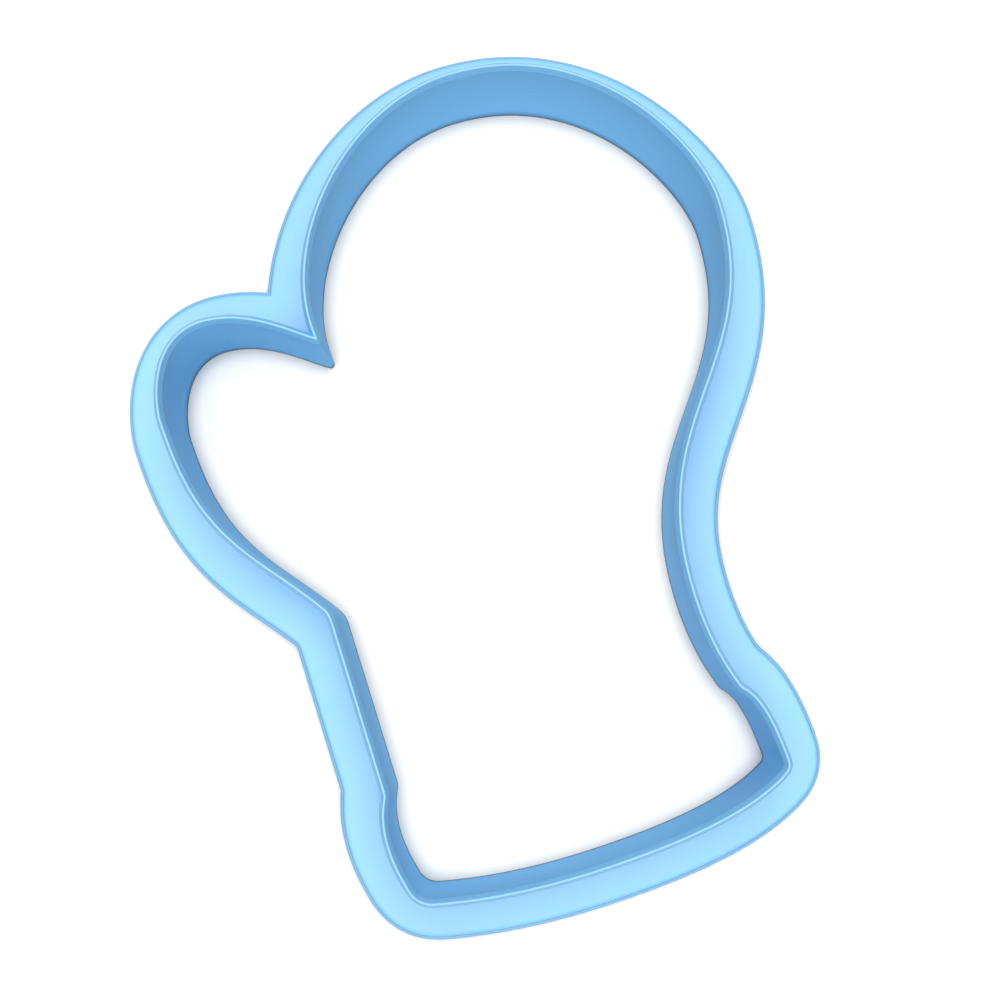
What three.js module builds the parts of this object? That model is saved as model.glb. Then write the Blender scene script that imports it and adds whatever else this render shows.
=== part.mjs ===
// Mitten cookie cutter, standing on its grip rim with the cutting edge on top.
// One drawn cookie outline carries three swept rings: the rim, the wall and the bevelled edge.
// Millimetres, +Z up, fingertips towards +Y.
import * as THREE from "three";

// Section of the cutter, the same all the way round.
const cutterHeight = 15;
const wallThickness = 0.8;
const edgeWidth = 0.2;
const bevelHeight = 0.7;
const rimReach = 4.5;
const rimThickness = 3;
const rimRoundingWidth = 0.65;
const rimRoundingHeight = 0.85;

// Cookie outline, drawn along the middle of the cutting edge.
// "Across" counts to the right from the straight side of the wrist.
// "Up" counts from the lowest point of the cuff.
// A "pull" is how far a curve is drawn out along its tangent where it leaves a point.

// Palm: its highest point, and its side away from the thumb.
const palmTopAcross = 25;
const palmTopUp = 73.1;
const palmTopPullLeft = 10.5;
const palmTopPullRight = 13.3;
const palmSideAcross = 45.1;
const palmSideUp = 54.4;
const palmSidePullUp = 6.1;
const palmSidePullDown = 15.6;

// Waist: the narrowest point under the palm, and how low its hollow is drawn.
const waistAcross = 31.8;
const waistUp = 20.8;
const waistPullUp = 17;
const waistPullDown = 5.4;

// Cuff: the notch above it on each side, two bulged sides and a bowed base.
// "Out" counts to the right from the waist.
const rightNotchOut = 1.5;
const rightNotchUp = 11.6;
const rightNotchRadius = 0.7;
const rightBulgeOut = 3.4;
const rightBulgeUp = 10.1;
const rightCornerOut = 3.5;
const rightCornerUp = 3.5;
const rightCornerRadius = 1.1;
const baseAcross = 15.8;
const basePullRight = 14.7;
const basePullLeft = 8.8;
const leftCornerUp = 1.9;
const leftCornerRadius = 2.3;
const leftBulgeAcross = -2.2;
const leftBulgeUp = 8.1;
const leftNotchUp = 12;
const leftNotchRadius = 0.8;

// Thumb: its root on the wrist, its outermost point and its highest point.
const thumbRootUp = 29;
const thumbRootRadius = 2.1;
const thumbRootPull = 7.9;
const thumbRootAngle = 122;
const thumbSideAcross = -9.5;
const thumbSideUp = 50.1;
const thumbSidePullDown = 12;
const thumbSidePullUp = 2;
const thumbTopAcross = -3.3;
const thumbTopUp = 57.9;
const thumbTopPullLeft = 5;
const thumbTopPullRight = 4.2;

// Crotch: the sharp point between thumb and palm.
const crotchAcross = 6.2;
const crotchUp = 53.2;
const crotchPalmPull = 8.9;
const crotchPalmAngle = 97.8;
const crotchThumbPull = 2;
const crotchThumbAngle = 148;

// Fineness of the facets.
const longestStep = 2.6;
const turnPerStep = THREE.MathUtils.degToRad(5.5);
const turnPerCornerStep = THREE.MathUtils.degToRad(11);
const turnSamples = 48;
const cornerSteps = 5;
const roundingSteps = 6;

const plasticColor = 0x7ec2f2;
const plasticRoughness = 0.42;

const halfWall = wallThickness / 2;
const halfEdge = edgeWidth / 2;
const rimOuter = halfWall + rimReach;
const bevelFoot = cutterHeight - bevelHeight;

function place(across, up) {
  return new THREE.Vector2(across, up);
}

function pulled(start, degrees, length) {
  const angle = THREE.MathUtils.degToRad(degrees);
  return place(start.x + length * Math.cos(angle), start.y + length * Math.sin(angle));
}

function cubic(start, startHandle, endHandle, end) {
  return new THREE.CubicBezierCurve(start, startHandle, endHandle, end);
}

function quadratic(start, handle, end) {
  return new THREE.QuadraticBezierCurve(start, handle, end);
}

// A sample is a point on the outline with the direction that points out of the cookie there.
function sampleAt(curve, t) {
  const tangent = curve.getTangent(t);
  return { point: curve.getPoint(t), outward: place(-tangent.y, tangent.x) };
}

function angleBetween(from, to) {
  return Math.atan2(from.cross(to), from.dot(to));
}

function turnOf(curve) {
  let turn = 0;
  let last = curve.getTangent(0);
  for (let k = 1; k <= turnSamples; k += 1) {
    const tangent = curve.getTangent(k / turnSamples);
    turn += Math.abs(angleBetween(last, tangent));
    last = tangent;
  }
  return turn;
}

// Samples along curves that run smoothly into each other.
function sampleRun(...curves) {
  const samples = [sampleAt(curves[0], 0)];
  for (const curve of curves) {
    const steps = Math.ceil(Math.max(turnOf(curve) / turnPerStep, curve.getLength() / longestStep));
    for (let k = 1; k <= steps; k += 1) {
      samples.push(sampleAt(curve, k / steps));
    }
  }
  return samples;
}

function offsetPoint(sample, distance) {
  return sample.point.clone().addScaledVector(sample.outward, distance);
}

function offsetRun(run, distance) {
  return run.map((sample) => offsetPoint(sample, distance));
}

// Where two polylines first cross: the point, and the step and share of that step on each of them.
function crossing(before, after) {
  for (let i = 0; i < before.length - 1; i += 1) {
    const stepBefore = before[i + 1].clone().sub(before[i]);
    for (let j = after.length - 2; j >= 0; j -= 1) {
      const stepAfter = after[j + 1].clone().sub(after[j]);
      const gap = after[j].clone().sub(before[i]);
      const spread = stepBefore.cross(stepAfter);
      const shareBefore = gap.cross(stepAfter) / spread;
      const shareAfter = gap.cross(stepBefore) / spread;
      const onBefore = shareBefore >= 0 && shareBefore <= 1;
      const onAfter = shareAfter >= 0 && shareAfter <= 1;
      if (onBefore && onAfter) {
        const point = before[i].clone().addScaledVector(stepBefore, shareBefore);
        return { point, i, j, shareBefore, shareAfter };
      }
    }
  }
  return null;
}

function outwardBetween(run, step, share) {
  return run[step].outward.clone().lerp(run[step + 1].outward, share).normalize();
}

// Outward directions that turn evenly from one to another.
function turningOutwards(from, to, steps) {
  const turn = angleBetween(from, to);
  const still = place(0, 0);
  return Array.from({ length: steps + 1 }, (_, k) => from.clone().rotateAround(still, (turn * k) / steps));
}

// An arc that rounds the corner between two runs, with what is left of them before and after it.
// Its centre lies inside the cookie, or outside it if the radius is negative.
function cornerArc(before, after, radius) {
  const centre = crossing(offsetRun(before, -radius), offsetRun(after, -radius));
  const from = outwardBetween(before, centre.i, centre.shareBefore);
  const to = outwardBetween(after, centre.j, centre.shareAfter);
  const steps = Math.ceil(Math.abs(angleBetween(from, to)) / turnPerCornerStep);
  const arc = turningOutwards(from, to, steps).map((outward) => {
    return { point: centre.point.clone().addScaledVector(outward, radius), outward };
  });
  return { start: before.slice(0, centre.i + 1), arc, end: after.slice(centre.j + 1) };
}

// Two runs that meet in an outside corner, rounded and joined.
function roundedJoin(before, after, radius) {
  const { start, arc, end } = cornerArc(before, after, radius);
  return [...start, ...arc, ...end];
}

// Two runs that meet in an inside corner, each rounded up to the middle of the corner.
function roundedNotch(before, after, radius) {
  const { start, arc, end } = cornerArc(before, after, -radius);
  const middle = Math.floor(arc.length / 2);
  return [
    [...start, ...arc.slice(0, middle + 1)],
    [...arc.slice(middle), ...end],
  ];
}

// The cookie outline, clockwise, as four smooth runs that meet in inside corners.
function drawCookie() {
  const crotch = place(crotchAcross, crotchUp);
  const palmTop = place(palmTopAcross, palmTopUp);
  const palmSide = place(palmSideAcross, palmSideUp);
  const waist = place(waistAcross, waistUp);
  const rightNotch = place(waistAcross + rightNotchOut, rightNotchUp);
  const rightCorner = place(waistAcross + rightCornerOut, rightCornerUp);
  const base = place(baseAcross, 0);
  const leftCorner = place(0, leftCornerUp);
  const leftNotch = place(0, leftNotchUp);
  const thumbRoot = place(0, thumbRootUp);
  const thumbSide = place(thumbSideAcross, thumbSideUp);
  const thumbTop = place(thumbTopAcross, thumbTopUp);

  const palm = sampleRun(
    cubic(
      crotch,
      pulled(crotch, crotchPalmAngle, crotchPalmPull),
      place(palmTopAcross - palmTopPullLeft, palmTopUp),
      palmTop,
    ),
    cubic(
      palmTop,
      place(palmTopAcross + palmTopPullRight, palmTopUp),
      place(palmSideAcross, palmSideUp + palmSidePullUp),
      palmSide,
    ),
    cubic(
      palmSide,
      place(palmSideAcross, palmSideUp - palmSidePullDown),
      place(waistAcross, waistUp + waistPullUp),
      waist,
    ),
    quadratic(waist, place(waistAcross, waistUp - waistPullDown), rightNotch),
  );

  const rightBulge = place(waistAcross + rightBulgeOut, rightBulgeUp);
  const cuffRight = sampleRun(quadratic(rightNotch, rightBulge, rightCorner));
  const cuffBase = sampleRun(
    quadratic(rightCorner, place(baseAcross + basePullRight, 0), base),
    quadratic(base, place(baseAcross - basePullLeft, 0), leftCorner),
  );
  const cuffLeft = sampleRun(quadratic(leftCorner, place(leftBulgeAcross, leftBulgeUp), leftNotch));
  const cuffFront = roundedJoin(cuffRight, cuffBase, rightCornerRadius);
  const cuff = roundedJoin(cuffFront, cuffLeft, leftCornerRadius);

  const wrist = sampleRun(new THREE.LineCurve(leftNotch, thumbRoot));

  const thumb = sampleRun(
    cubic(
      thumbRoot,
      pulled(thumbRoot, thumbRootAngle, thumbRootPull),
      place(thumbSideAcross, thumbSideUp - thumbSidePullDown),
      thumbSide,
    ),
    cubic(
      thumbSide,
      place(thumbSideAcross, thumbSideUp + thumbSidePullUp),
      place(thumbTopAcross - thumbTopPullLeft, thumbTopUp),
      thumbTop,
    ),
    cubic(
      thumbTop,
      place(thumbTopAcross + thumbTopPullRight, thumbTopUp),
      pulled(crotch, crotchThumbAngle, crotchThumbPull),
      crotch,
    ),
  );

  const [palmRun, cuffStart] = roundedNotch(palm, cuff, rightNotchRadius);
  const [cuffRun, wristStart] = roundedNotch(cuffStart, wrist, leftNotchRadius);
  const [wristRun, thumbRun] = roundedNotch(wristStart, thumb, thumbRootRadius);
  return [palmRun, cuffRun, wristRun, thumbRun];
}

// The outline moved outwards by a distance, or inwards if it is negative.
// Where the moved runs cross at a corner, what lies past the crossing gathers in that point.
// Where they part, the corner is rounded. Every contour has the same number of points.
function contour(runs, distance) {
  const rows = runs.map((run) => offsetRun(run, distance));
  const meetings = rows.map((row, k) => crossing(row, rows[(k + 1) % rows.length]));
  const points = [];
  runs.forEach((run, k) => {
    const start = meetings[(k + runs.length - 1) % runs.length];
    const end = meetings[k];
    rows[k].forEach((point, index) => {
      const beforeStart = start && index <= start.j;
      const pastEnd = end && index > end.i;
      points.push(beforeStart ? start.point : pastEnd ? end.point : point);
    });
    const corner = run[run.length - 1];
    const next = runs[(k + 1) % runs.length][0];
    for (const outward of turningOutwards(corner.outward, next.outward, cornerSteps)) {
      points.push(end ? end.point : offsetPoint({ point: corner.point, outward }, distance));
    }
  });
  return points;
}

// A closed ring: a section, given as [distance out, height] corners, swept round the outline.
function sweepRing(runs, section) {
  const loops = section.map(([distance, height]) => {
    return contour(runs, distance).map((point) => new THREE.Vector3(point.x, point.y, height));
  });
  const positions = [];
  const addTriangle = (a, b, c) => {
    if (!a.equals(b) && !b.equals(c) && !c.equals(a)) {
      positions.push(...a, ...b, ...c);
    }
  };
  loops.forEach((loop, row) => {
    const above = loops[(row + 1) % loops.length];
    loop.forEach((point, k) => {
      const next = (k + 1) % loop.length;
      addTriangle(point, above[k], above[next]);
      addTriangle(point, above[next], loop[next]);
    });
  });
  const geometry = new THREE.BufferGeometry();
  geometry.setAttribute("position", new THREE.Float32BufferAttribute(positions, 3));
  geometry.computeVertexNormals();
  return geometry;
}

// Flat flange with a rounded upper edge, which the palm of the hand presses on.
function gripRimSection() {
  const roundedEdge = Array.from({ length: roundingSteps + 1 }, (_, k) => {
    const angle = ((Math.PI / 2) * k) / roundingSteps;
    const distance = rimOuter - rimRoundingWidth * (1 - Math.cos(angle));
    return [distance, rimThickness - rimRoundingHeight * (1 - Math.sin(angle))];
  });
  return [[halfWall, 0], [rimOuter, 0], ...roundedEdge, [halfWall, rimThickness]];
}

// Upright band that shapes the cookie, from the underside of the rim to the foot of the bevels.
function wallSection() {
  return [
    [-halfWall, 0],
    [halfWall, 0],
    [halfWall, bevelFoot],
    [-halfWall, bevelFoot],
  ];
}

// Blade that narrows from the wall to the cutting edge.
function cuttingEdgeSection() {
  return [
    [-halfWall, bevelFoot],
    [halfWall, bevelFoot],
    [halfEdge, cutterHeight],
    [-halfEdge, cutterHeight],
  ];
}

function plasticMesh(name, runs, section) {
  const material = new THREE.MeshStandardMaterial({
    color: plasticColor,
    roughness: plasticRoughness,
    metalness: 0,
  });
  const mesh = new THREE.Mesh(sweepRing(runs, section), material);
  mesh.name = name;
  return mesh;
}

const cookie = drawCookie();
const footprint = new THREE.Box2().setFromPoints(contour(cookie, rimOuter));
const middle = footprint.getCenter(place(0, 0));

const cutter = new THREE.Group();
cutter.add(
  plasticMesh("grip_rim", cookie, gripRimSection()),
  plasticMesh("cutter_wall", cookie, wallSection()),
  plasticMesh("cutting_edge", cookie, cuttingEdgeSection()),
);
cutter.position.set(-middle.x, -middle.y, 0);

export default cutter;
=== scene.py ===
"""Looks of a mitten cookie cutter: its printed rim, wall and cutting edge, the stage and the camera."""

import math

import bmesh
import bpy
from bpy.props import FloatProperty, FloatVectorProperty, IntProperty, PointerProperty
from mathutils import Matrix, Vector


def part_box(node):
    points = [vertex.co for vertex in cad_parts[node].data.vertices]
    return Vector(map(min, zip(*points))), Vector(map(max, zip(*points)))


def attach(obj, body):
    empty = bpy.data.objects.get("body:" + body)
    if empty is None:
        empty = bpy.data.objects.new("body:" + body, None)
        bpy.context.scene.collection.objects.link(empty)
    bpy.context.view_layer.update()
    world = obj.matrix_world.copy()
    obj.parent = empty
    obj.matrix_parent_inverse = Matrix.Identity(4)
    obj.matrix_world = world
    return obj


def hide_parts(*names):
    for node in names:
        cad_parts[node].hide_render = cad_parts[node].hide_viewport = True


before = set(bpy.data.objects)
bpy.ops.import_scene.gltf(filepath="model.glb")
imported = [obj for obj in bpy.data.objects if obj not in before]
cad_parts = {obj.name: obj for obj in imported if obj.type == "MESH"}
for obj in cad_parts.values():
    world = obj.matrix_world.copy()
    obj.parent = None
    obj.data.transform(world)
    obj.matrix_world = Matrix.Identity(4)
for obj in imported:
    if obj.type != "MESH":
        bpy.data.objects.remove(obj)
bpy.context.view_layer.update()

bl_info = {
    "name": "Mitten Cookie Cutter",
    "version": (1, 0, 0),
    "blender": (4, 5, 0),
    "location": "View3D > Sidebar > Cookie Cutter",
    "description": "Dresses a printed mitten cookie cutter and sets it on a white stage",
    "category": "Object",
}

BODY = "root"

# Shapes
MERGE_DISTANCE = 1e-6
FLAT_ANGLE = math.radians(1)
QUAD_ANGLE = math.radians(60)
CORNER_ANGLE = math.radians(19)
LEVEL_RISE = 0.99
WALL_SMOOTHNESS = 1
ROWS_PER_LAYER = 2

# Patterns and painted shade in the plastic
STEEP_RISE = 0.3
GENTLE_RISE = 0.6
MID_LAYER = 0.5
PAINTED_FOOT_SHADE_FADE = 2
DRIFT_DETAIL = 2
STREAK_DETAIL = 2
STREAK_SHARE = 0.6
GRAIN_DETAIL = 3
GRAIN_RELIEF = 0.25
GLOSS_SPREAD = 0.05

# Floor and camera
WHITE = (1, 1, 1, 1)
FLOOR_GAP = 1e-5
CLOSED_IN = 0.35
SENSOR_WIDTH = 36
NEAREST_SEEN = 0.01


class PrintSettings(bpy.types.PropertyGroup):
    """How the cutter was printed."""

    layer_height: FloatProperty(
        name="Layer Height",
        description="Height of one printed layer",
        default=0.0002,
        min=0.0001,
        unit="LENGTH",
    )
    first_layer: FloatProperty(
        name="First Layer",
        description="Height of the first layer, which is printed thicker",
        default=0.0003,
        min=0.0001,
        unit="LENGTH",
    )
    groove_depth: FloatProperty(
        name="Groove Depth",
        description="How far the line between two layers lies behind the face",
        default=0.000012,
        min=0,
        unit="LENGTH",
    )
    edge_softness: FloatProperty(
        name="Edge Softness",
        description="Rounding of the two corners of the cutting edge",
        default=0.00003,
        min=0,
        unit="LENGTH",
    )
    foot_softness: FloatProperty(
        name="Foot Softness",
        description="Rounding of the rim's lower corner",
        default=0.00012,
        min=0,
        unit="LENGTH",
    )
    smoothness: IntProperty(
        name="Smoothness",
        description="Subdivision levels of the rim and the cutting edge",
        default=2,
        min=1,
        max=3,
    )


class PlasticSettings(bpy.types.PropertyGroup):
    """Colour and finish of the plastic."""

    color: FloatVectorProperty(
        name="Colour",
        description="Colour of the plastic",
        default=(0.225, 0.58, 0.95),
        min=0,
        max=1,
        size=3,
        subtype="COLOR",
    )
    drift: FloatProperty(
        name="Colour Drift",
        description="Share by which the colour wanders over the smooth faces",
        default=0.03,
        min=0,
        max=1,
        subtype="FACTOR",
    )
    drift_size: FloatProperty(
        name="Drift Size",
        description="Distance over which the colour wanders",
        default=0.011,
        min=0.001,
        unit="LENGTH",
    )
    layer_drift: FloatProperty(
        name="Layer Drift",
        description="Share by which the colour differs from layer to layer",
        default=0.07,
        min=0,
        max=1,
        subtype="FACTOR",
    )
    line_width: FloatProperty(
        name="Line Width",
        description="Height of the shaded line between two layers",
        default=0.00009,
        min=0,
        unit="LENGTH",
    )
    # Painted shade: the colour is darkened in the lines between layers on sloping faces, where the
    # groove would lie in shade.
    painted_line_shade: FloatProperty(
        name="Line Shade",
        description="Share of the colour left in the lines between layers",
        default=0.5,
        min=0,
        max=1,
        subtype="FACTOR",
    )
    streak_length: FloatProperty(
        name="Streak Length",
        description="Length of the streaks along the layers",
        default=0.012,
        min=0.001,
        unit="LENGTH",
    )
    streak_height: FloatProperty(
        name="Streak Height",
        description="Height of the streaks along the layers",
        default=0.0006,
        min=0.0001,
        unit="LENGTH",
    )
    # Painted shade: the next two settings darken the upright faces towards the floor, standing in for
    # the contact shadow at their foot.
    painted_foot_shade: FloatProperty(
        name="Foot Shade",
        description="Share of the colour left in the first layers, which were pressed on the bed",
        default=0.3,
        min=0,
        max=1,
        subtype="FACTOR",
    )
    painted_foot_shade_height: FloatProperty(
        name="Foot Height",
        description="Height up to which the first layers look darker",
        default=0.002,
        min=0,
        unit="LENGTH",
    )
    satin_roughness: FloatProperty(
        name="Satin Roughness",
        description="Roughness of the smooth faces",
        default=0.35,
        min=0,
        max=1,
        subtype="FACTOR",
    )
    satin_shine: FloatProperty(
        name="Satin Shine",
        description="Mirror share of the smooth faces",
        default=0.58,
        min=0,
        max=1,
        subtype="FACTOR",
    )
    layer_roughness: FloatProperty(
        name="Layer Roughness",
        description="Roughness of the layered faces",
        default=0.7,
        min=0,
        max=1,
        subtype="FACTOR",
    )
    layer_shine: FloatProperty(
        name="Layer Shine",
        description="Mirror share of the layered faces",
        default=0.1,
        min=0,
        max=1,
        subtype="FACTOR",
    )
    grain_size: FloatProperty(
        name="Grain Size",
        description="Size of the fine grain on the surface",
        default=0.0004,
        min=0.00005,
        unit="LENGTH",
    )
    grain_strength: FloatProperty(
        name="Grain Strength",
        description="Strength of the fine grain",
        default=0.06,
        min=0,
        max=1,
        subtype="FACTOR",
    )


class StageSettings(bpy.types.PropertyGroup):
    """Floor, light and camera."""

    floor_color: FloatVectorProperty(
        name="Floor Colour",
        description="Colour of the floor",
        default=(0.92, 0.85, 0.78),
        min=0,
        max=1,
        size=3,
        subtype="COLOR",
    )
    floor_glow: FloatProperty(
        name="Floor Glow",
        description="Extra brightness that makes the floor show as white away from the cutter",
        default=0.4,
        min=0,
    )
    # The glow's fade near the cutter is a painted contact shadow on the floor.
    contact_width: FloatProperty(
        name="Contact Width",
        description="How far from the cutter the floor's extra brightness fades out",
        default=0.0015,
        min=0.0001,
        unit="LENGTH",
    )
    floor_width: FloatProperty(
        name="Floor Width",
        description="Width of the square floor",
        default=4,
        min=0.5,
        unit="LENGTH",
    )
    dome_level: FloatProperty(
        name="Dome Level",
        description="Brightness of the light from all round",
        default=0.11,
        min=0,
    )
    lamp_level: FloatProperty(
        name="Lamp Level",
        description="Brightness that the overhead lamp gives a white face turned up",
        default=0.8,
        min=0,
    )
    lamp_width: FloatProperty(
        name="Lamp Width",
        description="Angle that the overhead lamp takes up in the sky",
        default=math.radians(44),
        min=0,
        subtype="ANGLE",
    )
    lamp_tilt: FloatProperty(
        name="Lamp Tilt",
        description="How far the overhead lamp leans from straight above",
        default=math.radians(3),
        subtype="ANGLE",
    )
    lamp_side: FloatProperty(
        name="Lamp Side",
        description="Side that the overhead lamp leans to, clockwise from the picture's bottom edge",
        default=math.radians(155),
        subtype="ANGLE",
    )
    front_level: FloatProperty(
        name="Front Level",
        description="Brightness that the lamp at the front gives a white face turned to it",
        default=0.23,
        min=0,
    )
    back_level: FloatProperty(
        name="Back Level",
        description="Brightness that the lamp at the back gives a white face turned to it",
        default=0.16,
        min=0,
    )
    fill_width: FloatProperty(
        name="Fill Width",
        description="Angle that the front and back lamps each take up in the sky",
        default=math.radians(40),
        min=0,
        subtype="ANGLE",
    )
    fill_tilt: FloatProperty(
        name="Fill Tilt",
        description="How far the front and back lamps lean from straight above",
        default=math.radians(60),
        subtype="ANGLE",
    )
    camera_distance: FloatProperty(
        name="Camera Distance",
        description="From the camera to the point that it looks at",
        default=0.1864,
        min=0.05,
        unit="LENGTH",
    )
    camera_aim: FloatVectorProperty(
        name="Camera Aim",
        description="Point on the floor in the middle of the picture",
        default=(0.000312, -0.001181, 0),
        size=3,
        subtype="TRANSLATION",
        unit="LENGTH",
    )
    camera_tilt: FloatProperty(
        name="Camera Tilt",
        description="How far the camera leans from looking straight down",
        default=math.radians(4.92),
        subtype="ANGLE",
    )
    camera_turn: FloatProperty(
        name="Camera Turn",
        description="How far the cutter lies turned to the left in the picture",
        default=math.radians(17.5),
        subtype="ANGLE",
    )
    camera_lens: FloatProperty(
        name="Camera Lens",
        description="Focal length, in millimetres",
        default=68.36,
        min=10,
    )


# Pieces

def merged_copy(node_name):
    """A CAD node's shape with its loose triangles merged and joined to quads."""
    bm = bmesh.new()
    bm.from_mesh(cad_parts[node_name].data)
    bmesh.ops.remove_doubles(bm, verts=bm.verts[:], dist=MERGE_DISTANCE)
    bmesh.ops.join_triangles(
        bm,
        faces=bm.faces[:],
        angle_face_threshold=FLAT_ANGLE,
        angle_shape_threshold=QUAD_ANGLE,
    )
    return bm


def corners_at(bm, height):
    """Corner edges that lie all the way round at one height."""
    return [
        edge
        for edge in bm.edges
        if all(abs(vertex.co.z - height) < MERGE_DISTANCE for vertex in edge.verts)
        and edge.calc_face_angle() > CORNER_ANGLE
    ]


def outer_loop(edges):
    """Those of the edges that hang together with the one farthest to the right."""
    found = set()
    waiting = [max(edges, key=lambda edge: edge.verts[0].co.x)]
    while waiting:
        edge = waiting.pop()
        found.add(edge)
        near = {link for vertex in edge.verts for link in vertex.link_edges}
        waiting.extend(link for link in near if link in edges and link not in found)
    return list(found)


def is_level(face):
    return abs(face.normal.z) > LEVEL_RISE


def break_corners(bm, edges, width):
    """Takes the sharpness off corners round a level face: a cut beside them, then they move in."""
    loop = set(edges)
    level = next(face for face in edges[0].link_faces if is_level(face))
    height = edges[0].verts[0].co.z - level.normal.z * width
    everything = bm.verts[:] + bm.edges[:] + bm.faces[:]
    bmesh.ops.bisect_plane(bm, geom=everything, plane_co=(0, 0, height), plane_no=(0, 0, 1))
    moves = {}
    for vertex in {vertex for edge in loop for vertex in edge.verts}:
        sides = [face for edge in vertex.link_edges if edge in loop for face in edge.link_faces]
        first, second = (face.normal.xy.normalized() for face in sides if not is_level(face))
        moves[vertex] = (first + second) * width / (1 + first.dot(second))
    for vertex, move in moves.items():
        vertex.co -= move.to_3d()


def hold_corners(bm):
    """Keeps the corners of the section and of the outline sharp, and smooths the rest."""
    crease = bm.edges.layers.float.get("crease_edge") or bm.edges.layers.float.new("crease_edge")
    for edge in bm.edges:
        corner = edge.calc_face_angle() > CORNER_ANGLE
        edge.smooth = not corner
        edge[crease] = 1.0 if corner else 0.0
    for face in bm.faces:
        face.smooth = True


def new_piece(bm, name):
    mesh = bpy.data.meshes.new(name)
    bm.to_mesh(mesh)
    bm.free()
    piece = bpy.data.objects.new(name, mesh)
    bpy.context.scene.collection.objects.link(piece)
    return piece


def subdivide(piece, levels):
    modifier = piece.modifiers.new("Smooth outline", "SUBSURF")
    modifier.levels = levels
    modifier.render_levels = levels


def smoothed(bm, levels):
    """The same shape with its outline subdivided smoothly, ready for more modelling."""
    draft = new_piece(bm, "draft")
    subdivide(draft, levels)
    graph = bpy.context.evaluated_depsgraph_get()
    mesh = bpy.data.meshes.new_from_object(draft.evaluated_get(graph))
    bpy.data.objects.remove(draft)
    finer = bmesh.new()
    finer.from_mesh(mesh)
    bpy.data.meshes.remove(mesh)
    return finer


def is_upright(edge):
    start, end = (vertex.co for vertex in edge.verts)
    return abs(start.z - end.z) > (start - end).xy.length


def print_layers(bm, node_name, settings):
    """Splits the upright faces into layers, and sinks the line between each two."""
    low, high = (corner.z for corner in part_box(node_name))
    height = high - low
    upright = [edge for edge in bm.edges if is_upright(edge)]
    steps = round(height / upright[0].calc_length())
    layers = 1 + round((height - settings.first_layer) / settings.layer_height)
    layer_height = (height - settings.first_layer) / (layers - 1)
    rows = ROWS_PER_LAYER * layers
    bmesh.ops.subdivide_edges(bm, edges=upright, cuts=rows // steps - 1, use_grid_fill=True)
    hold_corners(bm)
    bm.normal_update()

    row = {vertex: round((vertex.co.z - low) / height * rows) for vertex in bm.verts}
    for vertex, number in row.items():
        first_share = min(number / ROWS_PER_LAYER, 1)
        later_layers = max(number / ROWS_PER_LAYER - 1, 0)
        vertex.co.z = low + first_share * settings.first_layer + later_layers * layer_height
    on_line = {
        vertex
        for vertex, number in row.items()
        if number % ROWS_PER_LAYER == 0 and 0 < number < rows
    }
    for vertex in on_line:
        vertex.co -= vertex.normal * settings.groove_depth
    for edge in bm.edges:
        first, second = edge.verts
        if on_line.issuperset(edge.verts) and row[first] == row[second]:
            edge.smooth = False


def dress(piece, node_name):
    """Gives a piece its plastic and puts it in the place of its CAD node."""
    piece.data.materials.clear()
    piece.data.materials.append(printed_plastic())
    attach(piece, BODY)
    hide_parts(node_name)


def make_grip_rim(settings):
    bm = merged_copy("grip_rim")
    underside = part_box("grip_rim")[0].z
    break_corners(bm, outer_loop(corners_at(bm, underside)), settings.foot_softness)
    hold_corners(bm)
    rim = new_piece(bm, "printed_grip_rim")
    subdivide(rim, settings.smoothness)
    dress(rim, "grip_rim")


def make_cutter_wall(settings):
    bm = merged_copy("cutter_wall")
    hold_corners(bm)
    bm = smoothed(bm, WALL_SMOOTHNESS)
    print_layers(bm, "cutter_wall", settings)
    wall = new_piece(bm, "printed_cutter_wall")
    dress(wall, "cutter_wall")


def make_cutting_edge(settings):
    bm = merged_copy("cutting_edge")
    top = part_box("cutting_edge")[1].z
    break_corners(bm, corners_at(bm, top), settings.edge_softness)
    hold_corners(bm)
    edge_piece = new_piece(bm, "printed_cutting_edge")
    subdivide(edge_piece, settings.smoothness)
    dress(edge_piece, "cutting_edge")


# Plastic

def add_node(tree, kind, inputs, **choices):
    """Adds a shader node, whose inputs are each a value to set or a socket to link."""
    node = tree.nodes.new("ShaderNode" + kind)
    for name, choice in choices.items():
        setattr(node, name, choice)
    for name, value in inputs.items():
        if isinstance(value, bpy.types.NodeSocket):
            tree.links.new(value, node.inputs[name])
        else:
            node.inputs[name].default_value = value
    return node


def add_math(tree, operation, *values):
    return add_node(tree, "Math", dict(enumerate(values)), operation=operation).outputs["Value"]


def add_noise(tree, place, scale, detail):
    inputs = {"Vector": place, "Scale": scale, "Detail": detail}
    return add_node(tree, "TexNoise", inputs).outputs["Fac"]


def add_mix(tree, factor, first, second, kind="FLOAT"):
    inputs = {"Factor": factor, "A": first, "B": second}
    return add_node(tree, "Mix", inputs, data_type=kind).outputs["Result"]


def add_range(tree, value, start, end, start_result, end_result):
    """Runs evenly from one result to the other between start and end, and stays level outside."""
    inputs = {
        "Value": value,
        "From Min": start,
        "From Max": end,
        "To Min": start_result,
        "To Max": end_result,
    }
    return add_node(tree, "MapRange", inputs).outputs["Result"]


def add_shade(tree, color, drift, factor):
    """The colour, darker or lighter by up to the drift."""
    dark, light = (
        (*(min(1, part * (1 + change)) for part in color), 1)
        for change in (-drift, drift)
    )
    return add_mix(tree, factor, dark, light, "RGBA")


def add_scaled(tree, color, share):
    inputs = {"Vector": color, "Scale": share}
    return add_node(tree, "VectorMath", inputs, operation="SCALE").outputs["Vector"]


def add_steepness(tree):
    """0 on level faces and 1 on upright ones, where the printed layers show."""
    normal = tree.nodes.new("ShaderNodeNewGeometry").outputs["Normal"]
    rise = add_node(tree, "SeparateXYZ", {"Vector": normal}).outputs["Z"]
    return add_range(tree, add_math(tree, "ABSOLUTE", rise), STEEP_RISE, GENTLE_RISE, 1, 0)


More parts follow.
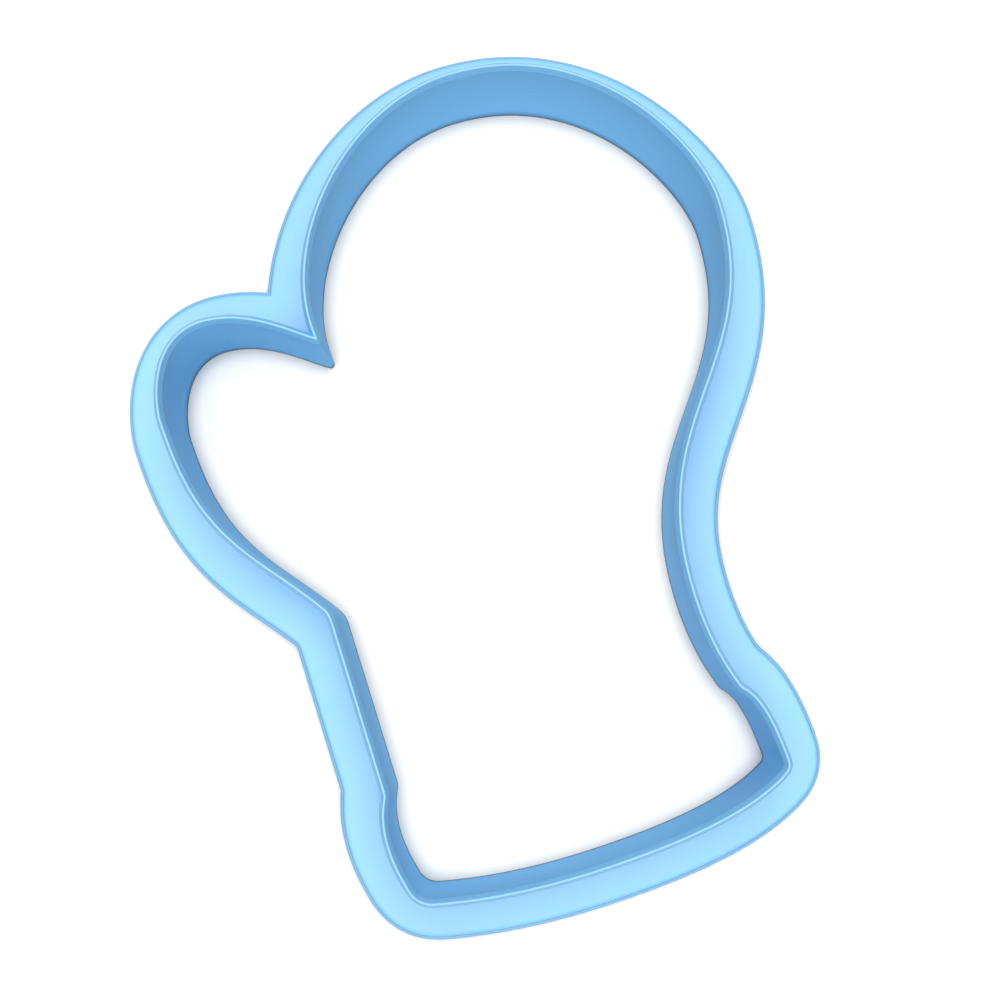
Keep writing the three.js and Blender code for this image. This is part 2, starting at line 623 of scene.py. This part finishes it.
def add_layer_count(tree, height):
    """Layers up to this height, above the first one: a whole number on the line between two."""
    settings = bpy.context.scene.cutter_print
    above_first = add_math(tree, "SUBTRACT", height, settings.first_layer)
    return add_math(tree, "DIVIDE", above_first, settings.layer_height)


def add_painted_line_shade(tree, layer, steep):
    """The share of the colour that is left: on sloping faces, painted shade in the lines between
    layers.
    """
    plastic = bpy.context.scene.cutter_plastic
    half_line = plastic.line_width / bpy.context.scene.cutter_print.layer_height / 2
    from_line = add_math(tree, "PINGPONG", layer, MID_LAYER)
    shade = add_range(tree, from_line, 0, half_line, plastic.painted_line_shade, 1)
    return add_mix(tree, steep, shade, 1)


def add_layer_tint(tree, place, layer):
    """A tint per printed layer, with long streaks along the layers."""
    plastic = bpy.context.scene.cutter_plastic
    number = add_math(tree, "FLOOR", layer)
    tint = add_node(tree, "TexWhiteNoise", {"W": number}, noise_dimensions="1D").outputs["Value"]
    scale = (1 / plastic.streak_length, 1 / plastic.streak_length, 1 / plastic.streak_height)
    stretched = add_node(tree, "Mapping", {"Vector": place, "Scale": scale}).outputs["Vector"]
    streak = add_noise(tree, stretched, 1, STREAK_DETAIL)
    return add_mix(tree, STREAK_SHARE, tint, streak)


def add_painted_foot_shade(tree, height):
    """The share of the colour that is left: painted shade on upright faces, strongest in the first
    layers and at the floor.
    """
    plastic = bpy.context.scene.cutter_plastic
    nearness = add_range(tree, height, 0, plastic.painted_foot_shade_height, 1, 0)
    return add_mix(tree, add_math(tree, "POWER", nearness, PAINTED_FOOT_SHADE_FADE), 1, plastic.painted_foot_shade)


def add_plastic_color(tree, place, steep):
    """One colour, which wanders on level faces and goes by layers and streaks on upright ones; painted
    shade darkens it near the floor and in the lines between layers.
    """
    plastic = bpy.context.scene.cutter_plastic
    height = add_node(tree, "SeparateXYZ", {"Vector": place}).outputs["Z"]
    layer = add_layer_count(tree, height)
    wander = add_noise(tree, place, 1 / plastic.drift_size, DRIFT_DETAIL)
    level_color = add_shade(tree, plastic.color, plastic.drift, wander)
    tint = add_layer_tint(tree, place, layer)
    layered_color = add_shade(tree, plastic.color, plastic.layer_drift, tint)
    # Painted shade near the floor, darkest at the foot of the upright faces.
    steep_color_with_painted_shade = add_scaled(tree, layered_color, add_painted_foot_shade(tree, height))
    color = add_mix(tree, steep, level_color, steep_color_with_painted_shade, "RGBA")
    # Painted shade in the lines between layers on sloping faces.
    return add_scaled(tree, color, add_painted_line_shade(tree, layer, steep))


def printed_plastic():
    """One plastic: satin where it lies level, duller and layered where it stands upright."""
    name = "Printed blue plastic"
    if name in bpy.data.materials:
        return bpy.data.materials[name]
    plastic = bpy.context.scene.cutter_plastic
    material = bpy.data.materials.new(name)
    material.use_nodes = True
    tree = material.node_tree
    place = tree.nodes.new("ShaderNodeTexCoord").outputs["Object"]
    steep = add_steepness(tree)
    grain = add_noise(tree, place, 1 / plastic.grain_size, GRAIN_DETAIL)
    spread = add_math(tree, "MULTIPLY_ADD", grain, 2 * GLOSS_SPREAD, -GLOSS_SPREAD)
    roughness = add_mix(tree, steep, plastic.satin_roughness, plastic.layer_roughness)
    relief = {
        "Height": grain,
        "Strength": plastic.grain_strength,
        "Distance": plastic.grain_size * GRAIN_RELIEF,
    }
    finish = {
        "Base Color": add_plastic_color(tree, place, steep),
        "Roughness": add_math(tree, "ADD", roughness, spread),
        "Specular IOR Level": add_mix(tree, steep, plastic.satin_shine, plastic.layer_shine),
        "Normal": add_node(tree, "Bump", relief).outputs["Normal"],
    }
    shader = tree.nodes["Principled BSDF"]
    for socket, value in finish.items():
        tree.links.new(value, shader.inputs[socket])
    return material


# Stage

def shown_directly(tree):
    """1 for rays from the camera and for those that a gloss or glass sends on, 0 for the others."""
    path = tree.nodes.new("ShaderNodeLightPath").outputs
    direct = add_math(tree, "MAXIMUM", path["Is Camera Ray"], path["Is Glossy Ray"])
    return add_math(tree, "MAXIMUM", direct, path["Is Transmission Ray"])


def white_floor(stage):
    """A plain floor with an extra glow, which fades near the cutter so that its shadow stays: the fade
    paints extra contact shadow on the floor.
    """
    material = bpy.data.materials.new("White floor")
    material.use_nodes = True
    tree = material.node_tree
    finish = tree.nodes["Principled BSDF"].inputs
    finish["Base Color"].default_value = (*stage.floor_color, 1)
    finish["Roughness"].default_value = 1
    finish["Specular IOR Level"].default_value = 0
    finish["Emission Color"].default_value = WHITE
    # Painted contact shadow: the glow dims where the ambient occlusion closes in beside the cutter.
    openness = add_node(tree, "AmbientOcclusion", {"Distance": stage.contact_width}).outputs["AO"]
    glow = add_range(tree, openness, CLOSED_IN, 1, 0, stage.floor_glow)
    shown_glow = add_math(tree, "MULTIPLY", shown_directly(tree), glow)
    tree.links.new(shown_glow, finish["Emission Strength"])
    return material


def make_floor(stage):
    bm = bmesh.new()
    bmesh.ops.create_grid(bm, x_segments=1, y_segments=1, size=stage.floor_width / 2)
    bmesh.ops.translate(bm, verts=bm.verts[:], vec=(0, 0, -FLOOR_GAP))
    floor = new_piece(bm, "floor")
    floor.data.materials.append(white_floor(stage))


def make_dome(stage):
    """Light from all round, which shows as plain white."""
    world = bpy.data.worlds.new("Soft dome")
    bpy.context.scene.world = world
    world.use_nodes = True
    tree = world.node_tree
    background = tree.nodes["Background"]
    background.inputs["Color"].default_value = WHITE
    level = add_mix(tree, shown_directly(tree), stage.dome_level, 1)
    tree.links.new(level, background.inputs["Strength"])


def make_lamp(name, tilt, side, level, width, stage):
    """A far soft lamp that leans to one side, which counts clockwise from the picture's bottom edge."""
    data = bpy.data.lights.new(name, "SUN")
    data.energy = level * math.pi
    data.angle = width
    lamp = bpy.data.objects.new(name, data)
    lamp.rotation_euler = (tilt, 0, -side - stage.camera_turn)
    bpy.context.scene.collection.objects.link(lamp)


def make_camera(stage):
    data = bpy.data.cameras.new("Camera")
    data.sensor_width = SENSOR_WIDTH
    data.lens = stage.camera_lens
    data.clip_start = NEAREST_SEEN
    camera = bpy.data.objects.new("Camera", data)
    camera.rotation_euler = (stage.camera_tilt, 0, -stage.camera_turn)
    backwards = camera.rotation_euler.to_matrix() @ Vector((0, 0, 1))
    camera.location = Vector(stage.camera_aim) + backwards * stage.camera_distance
    bpy.context.scene.collection.objects.link(camera)
    bpy.context.scene.camera = camera


class CUTTER_OT_grip_rim(bpy.types.Operator):
    """Make the flat rim that the hand presses on"""

    bl_idname = "cutter.grip_rim"
    bl_label = "Grip Rim"

    def execute(self, context):
        make_grip_rim(context.scene.cutter_print)
        return {"FINISHED"}


class CUTTER_OT_cutter_wall(bpy.types.Operator):
    """Make the thin upright wall with its printed layers"""

    bl_idname = "cutter.cutter_wall"
    bl_label = "Cutter Wall"

    def execute(self, context):
        make_cutter_wall(context.scene.cutter_print)
        return {"FINISHED"}


class CUTTER_OT_cutting_edge(bpy.types.Operator):
    """Make the bevelled cutting edge on top of the wall"""

    bl_idname = "cutter.cutting_edge"
    bl_label = "Cutting Edge"

    def execute(self, context):
        make_cutting_edge(context.scene.cutter_print)
        return {"FINISHED"}


class CUTTER_OT_stage(bpy.types.Operator):
    """Make the white floor, the soft light and the camera"""

    bl_idname = "cutter.stage"
    bl_label = "Stage"

    def execute(self, context):
        stage = context.scene.cutter_stage
        make_floor(stage)
        make_dome(stage)
        make_lamp(
            "Overhead lamp",
            stage.lamp_tilt,
            stage.lamp_side,
            stage.lamp_level,
            stage.lamp_width,
            stage,
        )
        make_lamp("Front lamp", stage.fill_tilt, 0, stage.front_level, stage.fill_width, stage)
        make_lamp("Back lamp", stage.fill_tilt, math.pi, stage.back_level, stage.fill_width, stage)
        make_camera(stage)
        context.scene.view_settings.view_transform = "Standard"
        return {"FINISHED"}


class CUTTER_PT_panel(bpy.types.Panel):
    """Settings and steps of the cookie cutter"""

    bl_idname = "CUTTER_PT_panel"
    bl_label = "Cookie Cutter"
    bl_space_type = "VIEW_3D"
    bl_region_type = "UI"
    bl_category = "Cookie Cutter"

    def draw(self, context):
        for group_name in SETTINGS:
            box = self.layout.box()
            group = getattr(context.scene, group_name)
            for property_name in group.__annotations__:
                box.prop(group, property_name)
        for operator in OPERATORS:
            self.layout.operator(operator.bl_idname)


SETTINGS = {
    "cutter_print": PrintSettings,
    "cutter_plastic": PlasticSettings,
    "cutter_stage": StageSettings,
}
OPERATORS = (
    CUTTER_OT_grip_rim,
    CUTTER_OT_cutter_wall,
    CUTTER_OT_cutting_edge,
    CUTTER_OT_stage,
)


def register():
    for group_name, group in SETTINGS.items():
        bpy.utils.register_class(group)
        setattr(bpy.types.Scene, group_name, PointerProperty(type=group))
    for operator in OPERATORS:
        bpy.utils.register_class(operator)
    bpy.utils.register_class(CUTTER_PT_panel)


def unregister():
    bpy.utils.unregister_class(CUTTER_PT_panel)
    for operator in reversed(OPERATORS):
        bpy.utils.unregister_class(operator)
    for group_name, group in SETTINGS.items():
        delattr(bpy.types.Scene, group_name)
        bpy.utils.unregister_class(group)


def main():
    register()
    bpy.ops.cutter.grip_rim()
    bpy.ops.cutter.cutter_wall()
    bpy.ops.cutter.cutting_edge()
    bpy.ops.cutter.stage()


if __name__ == "__main__":
    main()
